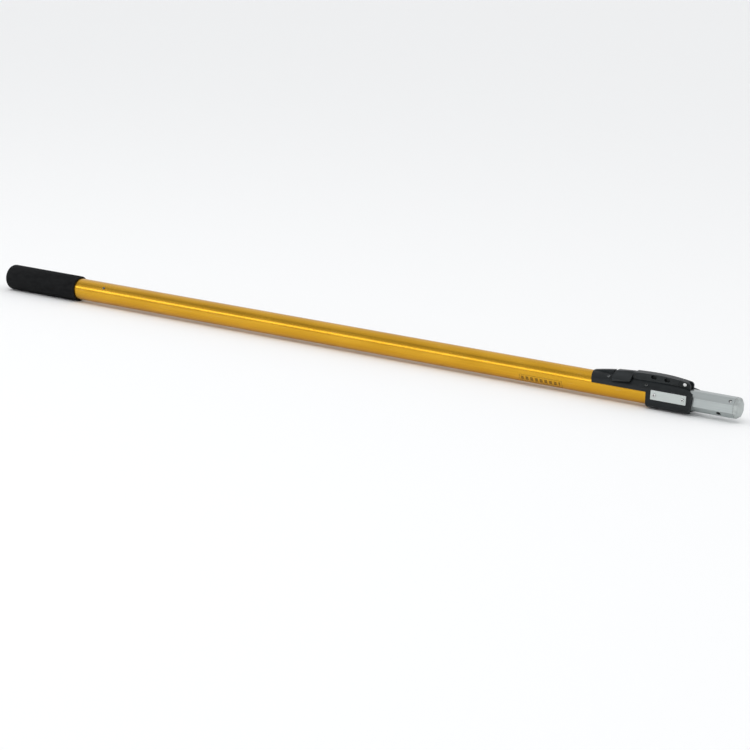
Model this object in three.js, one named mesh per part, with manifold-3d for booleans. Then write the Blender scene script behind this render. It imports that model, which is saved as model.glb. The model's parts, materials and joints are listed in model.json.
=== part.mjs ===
// Telescopic extension pole for a paint roller: a round outer tube with a grip,
// an octagonal inner tube, and a cam-lever lock between the two.
// Millimetres. +X runs along the pole to the tool end, +Z is the lever's side.
// The origin is the centre of the flat butt face, on the pole's axis.
import * as THREE from 'three';
import { mergeVertices } from 'three/addons/utils/BufferGeometryUtils.js';
import Module from 'manifold-3d';

const wasm = await Module();
wasm.setup();

// ---- Driving dimensions ----
const GAP = 0.3; // between pieces that touch on the real pole

const TUBE_RADIUS = 15.875; // 1-1/4 in outer tube
const TUBE_WALL = 1.2;
const TUBE_BORE = TUBE_RADIUS - TUBE_WALL;
const GRIP_RADIUS = 18.7;
const GRIP_LENGTH = 133;
const GRIP_END_WALL = 4;
const TUBE_START = 6.6;
const TUBE_END = 1088.5;

const STOP_RIVET_X = 186;
const STOP_RIVET_ANGLE = 38.6; // degrees above the horizontal
const STOP_HALF_LENGTH = 10; // rubber block that the closed inner pole lands on
const SLIDE_FLANGE = 12; // length of the flange that slides in the outer tube

const OCTAGON = 13.1; // inner tube, half of its size across flats
const OCTAGON_WALL = 1.6;
const INNER_START = STOP_RIVET_X + STOP_HALF_LENGTH + GAP + SLIDE_FLANGE;
const INNER_END = 1186;
const NOSE_END = 1192;
const NOSE_SPIGOT_START = 1173;
const SPIGOT_HALF = OCTAGON - OCTAGON_WALL - GAP; // plugs inside the inner tube

const HOUSING_START = 986.5;
const HOUSING_END = 1131.3;
const HOUSING_HALF_WIDTH = 17;
const HOUSING_HALF_HEIGHT = 17.2;
const HOUSING_TOP_CORNER = 15;
const HOUSING_LOW_CORNER = 9;
const SADDLE_LOW = 3.6; // lower edge of the half shell behind the lock block
const BLOCK_START = 1067.5; // where the housing starts to close round the tube
const WINDOW = { start: 1016.6, end: 1046.4, floor: 8.5, skin: 16.95 };

const PIVOT = { x: 1116.5, z: 19.2 };
const ARCH = { x: 1078, top: 25.6, rearRadius: 500, frontRadius: 260 }; // over spine, pad and lever
const LEVER_LOW = 17.7;
const LEVER_START = 1044.8;
const LEVER_HALF_WIDTH = 8.4; // at its rear end; lever and ears taper in plan to the front
const LEVER_FRONT_HALF_WIDTH = 6.6;
const SKIRT_INNER = 6;
const SKIRT_EDGE = [[LEVER_START, 16.2], [1077, 15.9], [1097, 14.9], [1109, 14.4]];
const NECK_HALF_WIDTH = 3.3;
const HUB_RADIUS = 3.35;
const CAM_OFFSET = 1; // of the cam lobe's centre from the pivot
const CAM_ANGLE = Math.PI / 6; // of the lobe behind straight down, lever closed
const EAR = { inner: 3.8, outer: 6.8, front: 1124, radius: 8.6, corner: 3 };
const SPINE_HALF_WIDTH = 4;
const MOUTH_SCOOP = { x: 1138.5, radius: 16 };
const NECK_START = 1100;
const LOBE_RADIUS = 3.3;
const TONGUE = { start: 1023, end: 1050, halfWidth: 4.4, top: 20 };
const GROOVE = { start: 1052, end: 1097, halfWidth: 2.5, depth: 1.6 };
const POCKET = { halfLength: 4.3, halfHeight: 2.7, depth: 5, centers: [[1073.5, 22], [1092, 21.1]] };
const PAD_SCREW = { x: 1032, radius: 1.2, seat: 18.9, tip: 21.2, headLow: 17.3, headRadius: 2.1 };
const PAD = { start: 1018.8, end: 1043.8, lowStart: 9.7, lowEnd: 13.1, halfWidth: 17.2 };
const PIN_RADIUS = 1.8;

const SHOE = { start: 1099, end: 1121.5, headEnd: 1106, low: 13.45, top: 14.7, halfWidth: 3.3, head: 5.2 };
const BUSH = { start: 1089.5, end: 1112, inner: 13.4, outer: 15.1, topGap: 6.4 };
const PLATE = { start: 1075, end: 1124, low: -4.7, high: 7.5, inner: 17.3, outer: 18.2 };
const PLATE_SCREW_X = [1080, 1119.4];
const PLATE_SCREW_Z = (PLATE.low + PLATE.high) / 2;

const ROLL_PIN_X = 1066.6;
const ROLL_PIN_ANGLE = 40; // degrees above the horizontal
const SADDLE_RIVET_X = 1012.2;
const SADDLE_RIVET_ANGLE = 50;
const SADDLE_RIVET_SEAT = 18.3;
const SADDLE_RIVET_TAIL = 13.95; // the tails catch the sliding flange at full extension
const NOSE_PIN_X = 1180.5;
const NOSE_PIN_RADIUS = 2;
const TOOL_HOLE_X = 1166;
const TOOL_HOLE_RADIUS = 3.25;
const SLIDE_RIVET_RADIUS = 1.3;
const SLIDE_RIVET_SETBACK = 10; // from the inner tube's rear end

const ROUND = 56; // facets round the tubes
const SMALL = 20; // facets round pins, rivets and screws
const FAR = 60; // a cutter's size where it only has to reach past the piece

// ---- Materials ----
function finish(color, roughness, metalness) {
  return new THREE.MeshStandardMaterial({ color, roughness, metalness });
}
const goldAnodised = () => finish(0xd09a30, 0.32, 0.9);
const silverAnodised = () => finish(0xb4b9b7, 0.38, 0.85);
const plateSteel = () => finish(0xc0c5c3, 0.35, 0.8);
const brightSteel = () => finish(0xd8d8d6, 0.25, 0.95);
const blackNylon = () => finish(0x26292b, 0.55, 0);
const leverNylon = () => finish(0x34383a, 0.5, 0);
const gripRubber = () => finish(0x1b1c1e, 0.85, 0);
const bushAcetal = () => finish(0x8d9193, 0.5, 0);
const brakeRubber = () => finish(0x4a3a30, 0.9, 0);
const castAluminium = () => finish(0xa9adab, 0.45, 0.8);

// ---- Closed bodies and booleans ----
function closedBody(geometry) {
  const bare = geometry.clone();
  bare.deleteAttribute('normal');
  bare.deleteAttribute('uv');
  const welded = mergeVertices(bare, 1e-4);
  const position = welded.attributes.position;
  const source = welded.index.array;
  const index = [];
  let volume = 0;
  const [a, b, c] = [new THREE.Vector3(), new THREE.Vector3(), new THREE.Vector3()];
  for (let i = 0; i < source.length; i += 3) {
    const [p, q, r] = [source[i], source[i + 1], source[i + 2]];
    if (p === q || q === r || r === p) continue;
    index.push(p, q, r);
    a.fromBufferAttribute(position, p);
    b.fromBufferAttribute(position, q);
    c.fromBufferAttribute(position, r);
    volume += a.dot(b.cross(c));
  }
  if (volume < 0) index.reverse();
  welded.setIndex(index);
  return welded;
}

function solid(geometry) {
  const body = closedBody(geometry);
  const vertProperties = Float32Array.from(body.attributes.position.array);
  const triVerts = Uint32Array.from(body.index.array);
  return new wasm.Manifold(new wasm.Mesh({ numProp: 3, vertProperties, triVerts }));
}

function geometryOf(body) {
  const mesh = body.getMesh();
  const geometry = new THREE.BufferGeometry();
  geometry.setAttribute('position', new THREE.BufferAttribute(mesh.vertProperties, 3));
  geometry.setIndex(new THREE.BufferAttribute(mesh.triVerts, 1));
  return geometry;
}

// ---- Basic shapes ----
const AXES_ALONG_X = new THREE.Matrix4().makeBasis(
  new THREE.Vector3(0, 1, 0), new THREE.Vector3(0, 0, 1), new THREE.Vector3(1, 0, 0));
const AXES_ACROSS_Y = new THREE.Matrix4().makeBasis(
  new THREE.Vector3(1, 0, 0), new THREE.Vector3(0, 0, 1), new THREE.Vector3(0, -1, 0));

function extruded(shape, depth, curveSegments = 12) {
  return new THREE.ExtrudeGeometry(shape, { depth, bevelEnabled: false, curveSegments });
}

// A section drawn in Y and Z, run from startX to endX.
function alongX(section, startX, endX) {
  return extruded(section, endX - startX).applyMatrix4(AXES_ALONG_X).translate(startX, 0, 0);
}

// A side view drawn in X and Z, as thick as from lowY to highY.
function acrossY(outline, lowY, highY) {
  return extruded(outline, highY - lowY).applyMatrix4(AXES_ACROSS_Y).translate(0, highY, 0);
}

// A plan drawn in X and Y, from lowZ to highZ.
function upZ(plan, lowZ, highZ) {
  return extruded(plan, highZ - lowZ, 24).translate(0, 0, lowZ);
}

function polygon(points) {
  return new THREE.Shape(points.map(([u, v]) => new THREE.Vector2(u, v)));
}

function box(startX, endX, lowY, highY, lowZ, highZ) {
  const geometry = new THREE.BoxGeometry(endX - startX, highY - lowY, highZ - lowZ);
  return geometry.translate((startX + endX) / 2, (lowY + highY) / 2, (lowZ + highZ) / 2);
}

function octagon(halfAcrossFlats) {
  const radius = halfAcrossFlats / Math.cos(Math.PI / 8);
  const corners = [];
  for (let i = 0; i < 8; i += 1) {
    const angle = Math.PI / 8 + (i * Math.PI) / 4;
    corners.push([radius * Math.cos(angle), radius * Math.sin(angle)]);
  }
  return polygon(corners);
}

function roundedRectangle(left, right, low, high, radius, topRadius = radius) {
  const shape = new THREE.Shape();
  shape.moveTo(left + radius, low);
  shape.lineTo(right - radius, low);
  shape.absarc(right - radius, low + radius, radius, -Math.PI / 2, 0, false);
  shape.lineTo(right, high - topRadius);
  shape.absarc(right - topRadius, high - topRadius, topRadius, 0, Math.PI / 2, false);
  shape.lineTo(left + topRadius, high);
  shape.absarc(left + topRadius, high - topRadius, topRadius, Math.PI / 2, Math.PI, false);
  shape.lineTo(left, low + radius);
  shape.absarc(left + radius, low + radius, radius, Math.PI, 1.5 * Math.PI, false);
  return shape;
}

// A turned piece round +Z: each profile point is [radius, height].
function turned(profile, facets = SMALL) {
  const points = profile.map(([radius, height]) => new THREE.Vector2(radius, height));
  return new THREE.LatheGeometry(points, facets).rotateX(Math.PI / 2);
}

// A turned piece round the pole's axis: each profile point is [x, radius].
function turnedOnAxis(profile, facets = ROUND) {
  return turned(profile.map(([x, radius]) => [radius, x]), facets).rotateY(Math.PI / 2);
}

function rod(radius, start, end, facets = ROUND) {
  return turnedOnAxis([[start, 0], [start, radius], [end, radius], [end, 0]], facets);
}

function pipe(outer, inner, start, end) {
  return turnedOnAxis([[start, inner], [start, outer], [end, outer], [end, inner], [start, inner]]);
}

// Turns a piece made round +Z so that it points outward from the pole's axis at x.
// side is -1 or 1 along Y; angle is in degrees above the horizontal.
function outward(x, side, angle) {
  const lift = THREE.MathUtils.degToRad(angle);
  const direction = new THREE.Vector3(0, side * Math.cos(lift), Math.sin(lift));
  const turn = new THREE.Quaternion().setFromUnitVectors(new THREE.Vector3(0, 0, 1), direction);
  return new THREE.Matrix4().compose(new THREE.Vector3(x, 0, 0), turn, new THREE.Vector3(1, 1, 1));
}

// A drill along that direction, from innerRadius to outerRadius away from the axis.
function radialDrill(x, side, angle, radius, innerRadius, outerRadius) {
  const profile = [[0, innerRadius], [radius, innerRadius], [radius, outerRadius], [0, outerRadius]];
  return solid(turned(profile).applyMatrix4(outward(x, side, angle)));
}

function archHeight(x) {
  const radius = x < ARCH.x ? ARCH.rearRadius : ARCH.frontRadius;
  return ARCH.top - radius + Math.sqrt(radius ** 2 - (x - ARCH.x) ** 2);
}

// Adds the arc over the lock to an outline, from the x where the outline stands to endX.
function followArch(outline, startX, endX) {
  const steps = Math.max(2, Math.round(Math.abs(endX - startX) / 8));
  for (let i = 0; i <= steps; i += 1) {
    const x = startX + ((endX - startX) * i) / steps;
    outline.lineTo(x, archHeight(x));
  }
}

// ---- Scene tree ----
const pole = new THREE.Group();
const outerPole = new THREE.Group();
const innerPole = new THREE.Group();
const leverGroup = new THREE.Group();
const shoeGroup = new THREE.Group();
innerPole.position.set(INNER_START, 0, 0);
leverGroup.position.set(PIVOT.x, 0, PIVOT.z);
shoeGroup.position.set(SHOE.start, 0, SHOE.low);
pole.add(outerPole, innerPole, leverGroup, shoeGroup);

// Adds a piece whose shape is given in the pole's frame to a group.
function addInPlace(group, name, geometry, material) {
  const { x, y, z } = group.position;
  const mesh = new THREE.Mesh(closedBody(geometry).translate(-x, -y, -z), material);
  mesh.name = name;
  group.add(mesh);
}

// Adds a pin, rivet or screw made round +Z, pointing outward from the pole's axis.
function addRadial(group, name, geometry, material, x, side, angle) {
  const mesh = new THREE.Mesh(closedBody(geometry), material);
  mesh.name = name;
  mesh.applyMatrix4(outward(x - group.position.x, side, angle));
  group.add(mesh);
}

const SIDES = [['right', -1], ['left', 1]];

// ---- Outer pole ----
function gripSleeve() {
  const endRound = 3;
  const lip = 1.2;
  const bore = TUBE_RADIUS + GAP;
  return turnedOnAxis([
    [0, 0],
    [0, GRIP_RADIUS - endRound],
    [0.3 * endRound, GRIP_RADIUS - 0.3 * endRound],
    [endRound, GRIP_RADIUS],
    [GRIP_LENGTH - lip, GRIP_RADIUS],
    [GRIP_LENGTH, GRIP_RADIUS - lip],
    [GRIP_LENGTH, bore],
    [GRIP_END_WALL, bore],
    [GRIP_END_WALL, 0],
  ]);
}

function tubeEndPlug() {
  const flangeEnd = TUBE_START - GAP;
  const spigotEnd = 26;
  return turnedOnAxis([
    [GRIP_END_WALL + GAP, 0],
    [GRIP_END_WALL + GAP, TUBE_RADIUS - GAP],
    [flangeEnd, TUBE_RADIUS - GAP],
    [flangeEnd, TUBE_BORE - GAP],
    [spigotEnd, TUBE_BORE - 1],
    [spigotEnd, 0],
  ]);
}

const ROLL_PIN_RADIUS = 1.9;
const SADDLE_RIVET_RADIUS = 1.5;
const STOP_RIVET_RADIUS = 1.3;
const PLATE_SCREW_RADIUS = 1.3;

function outerTube() {
  let tube = solid(pipe(TUBE_RADIUS, TUBE_BORE, TUBE_START, TUBE_END));
  for (const [, side] of SIDES) {
    const holes = [
      [ROLL_PIN_X, ROLL_PIN_ANGLE, ROLL_PIN_RADIUS],
      [SADDLE_RIVET_X, SADDLE_RIVET_ANGLE, SADDLE_RIVET_RADIUS],
      [STOP_RIVET_X, STOP_RIVET_ANGLE, STOP_RIVET_RADIUS],
    ];
    for (const [x, angle, radius] of holes) {
      tube = tube.subtract(radialDrill(x, side, angle, radius + GAP, TUBE_BORE - 3, TUBE_RADIUS + 3));
    }
    tube = tube.subtract(sideDrill(PLATE_SCREW_X[0], side, PLATE_SCREW_RADIUS + GAP, TUBE_BORE - 3));
  }
  return geometryOf(tube);
}

// A drill along Y through a side plate's screw place, in to innerY from the middle.
function sideDrill(x, side, radius, innerY) {
  const profile = [[0, innerY], [radius, innerY], [radius, PLATE.outer + 3], [0, PLATE.outer + 3]];
  const drill = turned(profile).rotateX((-side * Math.PI) / 2).translate(x, 0, PLATE_SCREW_Z);
  return solid(drill);
}

function retractStop() {
  const start = STOP_RIVET_X - STOP_HALF_LENGTH;
  let stop = solid(rod(TUBE_BORE - GAP, start, STOP_RIVET_X + STOP_HALF_LENGTH));
  for (const [, side] of SIDES) {
    stop = stop.subtract(
      radialDrill(STOP_RIVET_X, side, STOP_RIVET_ANGLE, STOP_RIVET_RADIUS + GAP, 9, TUBE_BORE + 1));
  }
  return geometryOf(stop);
}

// A blind rivet: a low dome on a surface at seat, and a shank in to tip.
function rivet(headRadius, shankRadius, seat, tip, dome) {
  return turned([
    [0, tip],
    [shankRadius, tip],
    [shankRadius, seat],
    [headRadius, seat],
    [headRadius, seat + 0.35 * dome],
    [0.6 * headRadius, seat + 0.9 * dome],
    [0, seat + dome],
  ]);
}

function rollPin() {
  const tip = TUBE_BORE + 0.3;
  const proud = 19.3;
  const bore = 1;
  return turned([
    [bore, tip],
    [ROLL_PIN_RADIUS, tip],
    [ROLL_PIN_RADIUS, proud],
    [bore, proud],
    [bore, tip],
  ]);
}

// ---- Lock housing ----
// Its side view; the top edge is raised by extra.
function housingSide(extra) {
  return polygon([
    [990.5, SADDLE_LOW],
    [HOUSING_START, HOUSING_HALF_HEIGHT + 1 + extra],
    [1085, HOUSING_HALF_HEIGHT + 0.2 + extra],
    [1098, 16 + extra],
    [1110, 15.1 + extra],
    [1122, 13.7 + extra],
    [HOUSING_END, 10.6 + extra],
    [HOUSING_END, 5],
    [1129.4, -15],
    [1127.4, -HOUSING_HALF_HEIGHT - 1],
    [1068, -HOUSING_HALF_HEIGHT - 1],
    [BLOCK_START, SADDLE_LOW],
  ]);
}

// The housing's outer form, grown by extra all round its section.
function housingBlank(extra) {
  const halfWidth = HOUSING_HALF_WIDTH + extra;
  const halfHeight = HOUSING_HALF_HEIGHT + extra;
  const section = roundedRectangle(
    -halfWidth, halfWidth, -halfHeight, halfHeight, HOUSING_LOW_CORNER + extra, HOUSING_TOP_CORNER + extra);
  const blank = solid(alongX(section, HOUSING_START - 1, HOUSING_END));
  return blank.intersect(solid(acrossY(housingSide(extra), -FAR, FAR)));
}

function spine() {
  const outline = new THREE.Shape();
  const end = WINDOW.start - 1;
  outline.moveTo(end, SADDLE_LOW + 10);
  outline.lineTo(HOUSING_START, SADDLE_LOW + 10);
  followArch(outline, HOUSING_START, end);
  return acrossY(outline, -SPINE_HALF_WIDTH, SPINE_HALF_WIDTH);
}

function ear(side) {
  const outline = new THREE.Shape();
  const { corner } = EAR;
  const rear = PIVOT.x - EAR.radius;
  outline.moveTo(rear, OCTAGON + 0.5);
  outline.lineTo(EAR.front, OCTAGON + 0.5);
  outline.lineTo(EAR.front, archHeight(EAR.front) - corner);
  outline.lineTo(EAR.front - 0.3 * corner, archHeight(EAR.front) - 0.3 * corner);
  followArch(outline, EAR.front - corner, PIVOT.x - 7);
  for (const angle of [155, 168, 180]) {
    const turn = THREE.MathUtils.degToRad(angle);
    outline.lineTo(PIVOT.x + EAR.radius * Math.cos(turn), PIVOT.z + EAR.radius * Math.sin(turn));
  }
  const reach = LEVER_HALF_WIDTH;
  const [low, high] = side < 0 ? [-reach, -EAR.inner] : [EAR.inner, reach];
  return solid(acrossY(outline, low, high)).intersect(leverPlan());
}

// The plan that the lever and the ears share: flush sides that draw in towards the front.
function leverPlan() {
  return solid(upZ(polygon([
    [LEVER_START, -LEVER_HALF_WIDTH],
    [EAR.front + 1, -LEVER_FRONT_HALF_WIDTH],
    [EAR.front + 1, LEVER_FRONT_HALF_WIDTH],
    [LEVER_START, LEVER_HALF_WIDTH],
  ]), 0, FAR));
}

function lockHousing() {
  let body = housingBlank(0);

  // The mouth is scooped in plan, so that the two cheeks reach forward past it.
  const scoop = new THREE.Shape().absarc(MOUTH_SCOOP.x, 0, MOUTH_SCOOP.radius, 0, 2 * Math.PI, false);
  body = body.subtract(solid(upZ(scoop, -FAR, FAR)));
  body = body.add(solid(spine()));
  body = body.add(ear(-1)).add(ear(1));

  // Seats of the outer tube, the guide bush and the inner tube, from the rear.
  const step = TUBE_END + GAP;
  body = body.subtract(solid(rod(TUBE_RADIUS + GAP, HOUSING_START - 5, step)));
  body = body.subtract(solid(alongX(octagon(OCTAGON + 0.4), step - 1, HOUSING_END + 5)));
  const bushSeat = solid(alongX(octagon(BUSH.outer + GAP), BUSH.start - GAP, BUSH.end + GAP));
  const keyHalf = BUSH.topGap - GAP;
  const bushKey = solid(box(BUSH.start - 5, BUSH.end + 5, -keyHalf, keyHalf, OCTAGON + 0.4, FAR));
  body = body.subtract(bushSeat.subtract(bushKey));

  // Window for the thumb pad: a thin skin over the tube, and a ledge each side.
  const skin = solid(rod(WINDOW.skin, WINDOW.start - 5, WINDOW.end + 5));
  const window = solid(box(WINDOW.start, WINDOW.end, -FAR, FAR, WINDOW.floor, FAR));
  body = body.subtract(window.subtract(skin));

  // Slot for the brake shoe and the lever's cam, wider for the shoe's head.
  const slotHalf = EAR.inner - 0.1;
  body = body.subtract(solid(box(SHOE.start - 0.6, EAR.front + 1, -slotHalf, slotHalf, 10, FAR)));
  const headHalf = SHOE.head + 0.4;
  body = body.subtract(
    solid(box(SHOE.start - 0.6, SHOE.headEnd + 0.6, -headHalf, headHalf, 10, FAR)));

  // Lever pin and fasteners.
  const pinBore = turned([[0, -FAR], [PIN_RADIUS + GAP, -FAR], [PIN_RADIUS + GAP, FAR], [0, FAR]]);
  body = body.subtract(solid(pinBore.rotateX(Math.PI / 2).translate(PIVOT.x, 0, PIVOT.z)));
  for (const [, side] of SIDES) {
    body = body.subtract(
      radialDrill(ROLL_PIN_X, side, ROLL_PIN_ANGLE, ROLL_PIN_RADIUS + GAP, 12, FAR));
    body = body.subtract(
      radialDrill(SADDLE_RIVET_X, side, SADDLE_RIVET_ANGLE, SADDLE_RIVET_RADIUS + GAP, 12, FAR));
    body = body.subtract(sideDrill(PLATE_SCREW_X[0], side, PLATE_SCREW_RADIUS + GAP, 12));
    body = body.subtract(sideDrill(PLATE_SCREW_X[1], side, PLATE_SCREW_RADIUS + GAP, 14));
  }
  return geometryOf(body);
}

function guideBush() {
  let bush = solid(alongX(octagon(BUSH.outer), BUSH.start, BUSH.end));
  bush = bush.subtract(solid(alongX(octagon(BUSH.inner), BUSH.start - 1, BUSH.end + 1)));
  bush = bush.subtract(solid(box(BUSH.start - 1, BUSH.end + 1, -BUSH.topGap, BUSH.topGap, 0, FAR)));
  return geometryOf(bush);
}

function sidePlate(side) {
  let plate = solid(acrossY(
    roundedRectangle(PLATE.start, PLATE.end, PLATE.low, PLATE.high, 1),
    side < 0 ? -PLATE.outer : PLATE.inner,
    side < 0 ? -PLATE.inner : PLATE.outer));
  for (const x of PLATE_SCREW_X) {
    plate = plate.subtract(sideDrill(x, side, PLATE_SCREW_RADIUS + GAP, 12));
  }
  return geometryOf(plate);
}

function plateScrew(side, tip) {
  const seat = PLATE.outer + GAP;
  const screw = rivet(2.3, PLATE_SCREW_RADIUS, seat, tip, 0.9);
  return screw.rotateX((-side * Math.PI) / 2);
}

function leverPin() {
  const seat = EAR.outer + GAP;
  const head = 1.1;
  const headRadius = 2.5;
  return turned([
    [0, -seat - head],
    [0.7 * headRadius, -seat - head],
    [headRadius, -seat - 0.4 * head],
    [headRadius, -seat],
    [PIN_RADIUS, -seat],
    [PIN_RADIUS, seat],
    [headRadius, seat],
    [headRadius, seat + 0.4 * head],
    [0.7 * headRadius, seat + head],
    [0, seat + head],
  ]).rotateX(Math.PI / 2).translate(PIVOT.x, 0, PIVOT.z);
}

// ---- Lever, thumb pad and brake shoe ----
function disc(x, z, radius, halfWidth) {
  const profile = [[0, -halfWidth], [radius, -halfWidth], [radius, halfWidth], [0, halfWidth]];
  return turned(profile, 32).rotateX(Math.PI / 2).translate(x, 0, z);
}

function camLever() {
  const wide = new THREE.Shape();
  wide.moveTo(...SKIRT_EDGE[0]);
  followArch(wide, LEVER_START, PIVOT.x);
  for (const [x, z] of [...SKIRT_EDGE.slice(1)].reverse()) {
    wide.lineTo(x, z);
  }
  let body = solid(acrossY(wide, -LEVER_HALF_WIDTH, LEVER_HALF_WIDTH)).intersect(leverPlan());
  body = body.subtract(housingBlank(GAP));
  body = body.subtract(
    solid(box(LEVER_START - 1, PIVOT.x, -SKIRT_INNER, SKIRT_INNER, 0, LEVER_LOW)));
  const earClearance = EAR.radius + 0.5;
  body = body.subtract(solid(disc(PIVOT.x, PIVOT.z, earClearance, FAR)));
  body = body.subtract(solid(box(PIVOT.x - earClearance, PIVOT.x, -FAR, FAR, 0, PIVOT.z)));

  const neck = new THREE.Shape();
  neck.moveTo(NECK_START, LEVER_LOW);
  followArch(neck, NECK_START, PIVOT.x);
  neck.lineTo(PIVOT.x, LEVER_LOW);
  body = body.add(solid(acrossY(neck, -NECK_HALF_WIDTH, NECK_HALF_WIDTH)));
  body = body.add(solid(disc(PIVOT.x, PIVOT.z, HUB_RADIUS, NECK_HALF_WIDTH)));
  const lobeX = PIVOT.x - CAM_OFFSET * Math.sin(CAM_ANGLE);
  const lobeZ = PIVOT.z - CAM_OFFSET * Math.cos(CAM_ANGLE);
  body = body.add(solid(disc(lobeX, lobeZ, LOBE_RADIUS, NECK_HALF_WIDTH)));

  // The tail tongue that the thumb pad slides onto, and the long groove beneath.
  body = body.add(solid(
    box(TONGUE.start, TONGUE.end, -TONGUE.halfWidth, TONGUE.halfWidth, LEVER_LOW, TONGUE.top)));
  body = body.subtract(solid(box(GROOVE.start, GROOVE.end, -GROOVE.halfWidth, GROOVE.halfWidth,
    LEVER_LOW - 1, LEVER_LOW + GROOVE.depth)));

  // Two long pockets in each side face.
  const { halfLength, halfHeight } = POCKET;
  for (const [x, z] of POCKET.centers) {
    const outline = roundedRectangle(
      x - halfLength, x + halfLength, z - halfHeight, z + halfHeight, 0.99 * halfHeight);
    const floor = LEVER_HALF_WIDTH - POCKET.depth;
    body = body.subtract(solid(acrossY(outline, -FAR, -floor)));
    body = body.subtract(solid(acrossY(outline, floor, FAR)));
  }
  body = body.subtract(solid(disc(PIVOT.x, PIVOT.z, PIN_RADIUS + GAP, FAR)));
  body = body.subtract(solid(padScrewHole()));
  return geometryOf(body);
}

// The screw's hole, with a counterbore for its head in the tongue's underside.
function padScrewHole() {
  const { radius, headRadius, seat, tip } = PAD_SCREW;
  const hole = [
    [0, 0],
    [headRadius + GAP, 0],
    [headRadius + GAP, seat],
    [radius + GAP, seat],
    [radius + GAP, tip + GAP],
    [0, tip + GAP],
  ];
  return turned(hole).translate(PAD_SCREW.x, 0, 0);
}

function padScrew() {
  const seat = PAD_SCREW.seat - GAP;
  return turned([
    [0, PAD_SCREW.headLow],
    [PAD_SCREW.headRadius, PAD_SCREW.headLow],
    [PAD_SCREW.headRadius, seat],
    [PAD_SCREW.radius, seat],
    [PAD_SCREW.radius, PAD_SCREW.tip],
    [0, PAD_SCREW.tip],
  ]).translate(PAD_SCREW.x, 0, 0);
}

function thumbPad() {
  const { halfWidth } = PAD;
  const shoulder = 12;
  const ridge = 3.5;
  const ridgeHeight = 24;
  const section = new THREE.Shape();
  section.moveTo(-halfWidth, 0);
  section.lineTo(halfWidth, 0);
  section.lineTo(halfWidth, shoulder);
  section.bezierCurveTo(halfWidth, shoulder + 3.5, 9.5, shoulder + 6.5, ridge, ridgeHeight);
  section.lineTo(ridge, FAR);
  section.lineTo(-ridge, FAR);
  section.lineTo(-ridge, ridgeHeight);
  section.bezierCurveTo(-9.5, shoulder + 6.5, -halfWidth, shoulder + 3.5, -halfWidth, shoulder);
  const side = new THREE.Shape();
  side.moveTo(PAD.start, PAD.lowStart);
  side.lineTo(PAD.end, PAD.lowEnd);
  followArch(side, PAD.end, PAD.start);
  let pad = solid(alongX(section, PAD.start, PAD.end));
  pad = pad.intersect(solid(acrossY(side, -FAR, FAR)));
  pad = pad.subtract(solid(rod(WINDOW.skin + 0.5, PAD.start - 5, PAD.end + 5)));
  const slotHalf = TONGUE.halfWidth + GAP;
  pad = pad.subtract(solid(
    box(TONGUE.start - GAP, PAD.end + 5, -slotHalf, slotHalf, PAD.lowStart, TONGUE.top + GAP)));
  pad = pad.subtract(solid(padScrewHole()));
  return geometryOf(pad);
}

function brakeShoe() {
  const { start, end, headEnd, low, top, halfWidth, head } = SHOE;
  let shoe = solid(box(start, end, -halfWidth, halfWidth, low, top));
  shoe = shoe.add(solid(box(start, headEnd, -head, head, low, top + 0.9)));
  return geometryOf(shoe);
}

// ---- Inner pole ----
// Tool holes lie on the facets that face down and out; the nose pins are a facet above.
function innerTube() {
  let tube = solid(alongX(octagon(OCTAGON), INNER_START, INNER_END));
  tube = tube.subtract(
    solid(alongX(octagon(OCTAGON - OCTAGON_WALL), INNER_START - 1, INNER_END + 1)));
  for (const [, side] of SIDES) {
    tube = tube.subtract(radialDrill(TOOL_HOLE_X, side, side * 45, TOOL_HOLE_RADIUS, 8, 20));
    tube = tube.subtract(radialDrill(NOSE_PIN_X, side, -side * 45, NOSE_PIN_RADIUS + GAP, 8, 20));
    tube = tube.subtract(slideRivetDrill(side));
  }
  return geometryOf(tube);
}

function slideRivetDrill(side) {
  return radialDrill(INNER_START + SLIDE_RIVET_SETBACK, side, 0, SLIDE_RIVET_RADIUS + GAP, 7, 20);
}

function nosePlug() {
  const flangeStart = INNER_END + GAP;
  const flangeHalf = 12.9;
  const taper = 4;
  const settings = { depth: NOSE_END - flangeStart - taper, bevelEnabled: true };
  settings.bevelThickness = taper;
  settings.bevelSize = taper;
  settings.bevelOffset = -taper;
  settings.bevelSegments = 4;
  const flange = new THREE.ExtrudeGeometry(octagon(flangeHalf), settings);
  flange.applyMatrix4(AXES_ALONG_X).translate(flangeStart, 0, 0);
  let plug = solid(flange).intersect(solid(box(flangeStart, NOSE_END + 5, -FAR, FAR, -FAR, FAR)));
  plug = plug.add(solid(alongX(octagon(SPIGOT_HALF), NOSE_SPIGOT_START, flangeStart + 0.1)));
  for (const [, side] of SIDES) {
    plug = plug.subtract(radialDrill(NOSE_PIN_X, side, -side * 45, NOSE_PIN_RADIUS + GAP, 6, 20));
  }
  return geometryOf(plug);
}

function nosePin() {
  const tip = 6.4;
  const end = 12.4;
  const chamfer = 0.5;
  return turned([
    [0, tip],
    [NOSE_PIN_RADIUS, tip],
    [NOSE_PIN_RADIUS, end - chamfer],
    [NOSE_PIN_RADIUS - chamfer, end],
    [0, end],
  ]);
}

function rearSlidePlug() {
  const flangeStart = INNER_START - SLIDE_FLANGE;
  const flangeEnd = INNER_START - GAP;
  const flange = turnedOnAxis([
    [flangeStart, 0],
    [flangeStart, TUBE_BORE - 1.3],
    [flangeStart + 1, TUBE_BORE - GAP],
    [flangeEnd, TUBE_BORE - GAP],
    [flangeEnd, 0],
  ]);
  const spigotEnd = INNER_START + 2 * SLIDE_RIVET_SETBACK;
  let plug = solid(flange).add(solid(alongX(octagon(SPIGOT_HALF), flangeEnd - 1, spigotEnd)));
  for (const [, side] of SIDES) {
    plug = plug.subtract(slideRivetDrill(side));
  }
  return geometryOf(plug);
}

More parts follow.
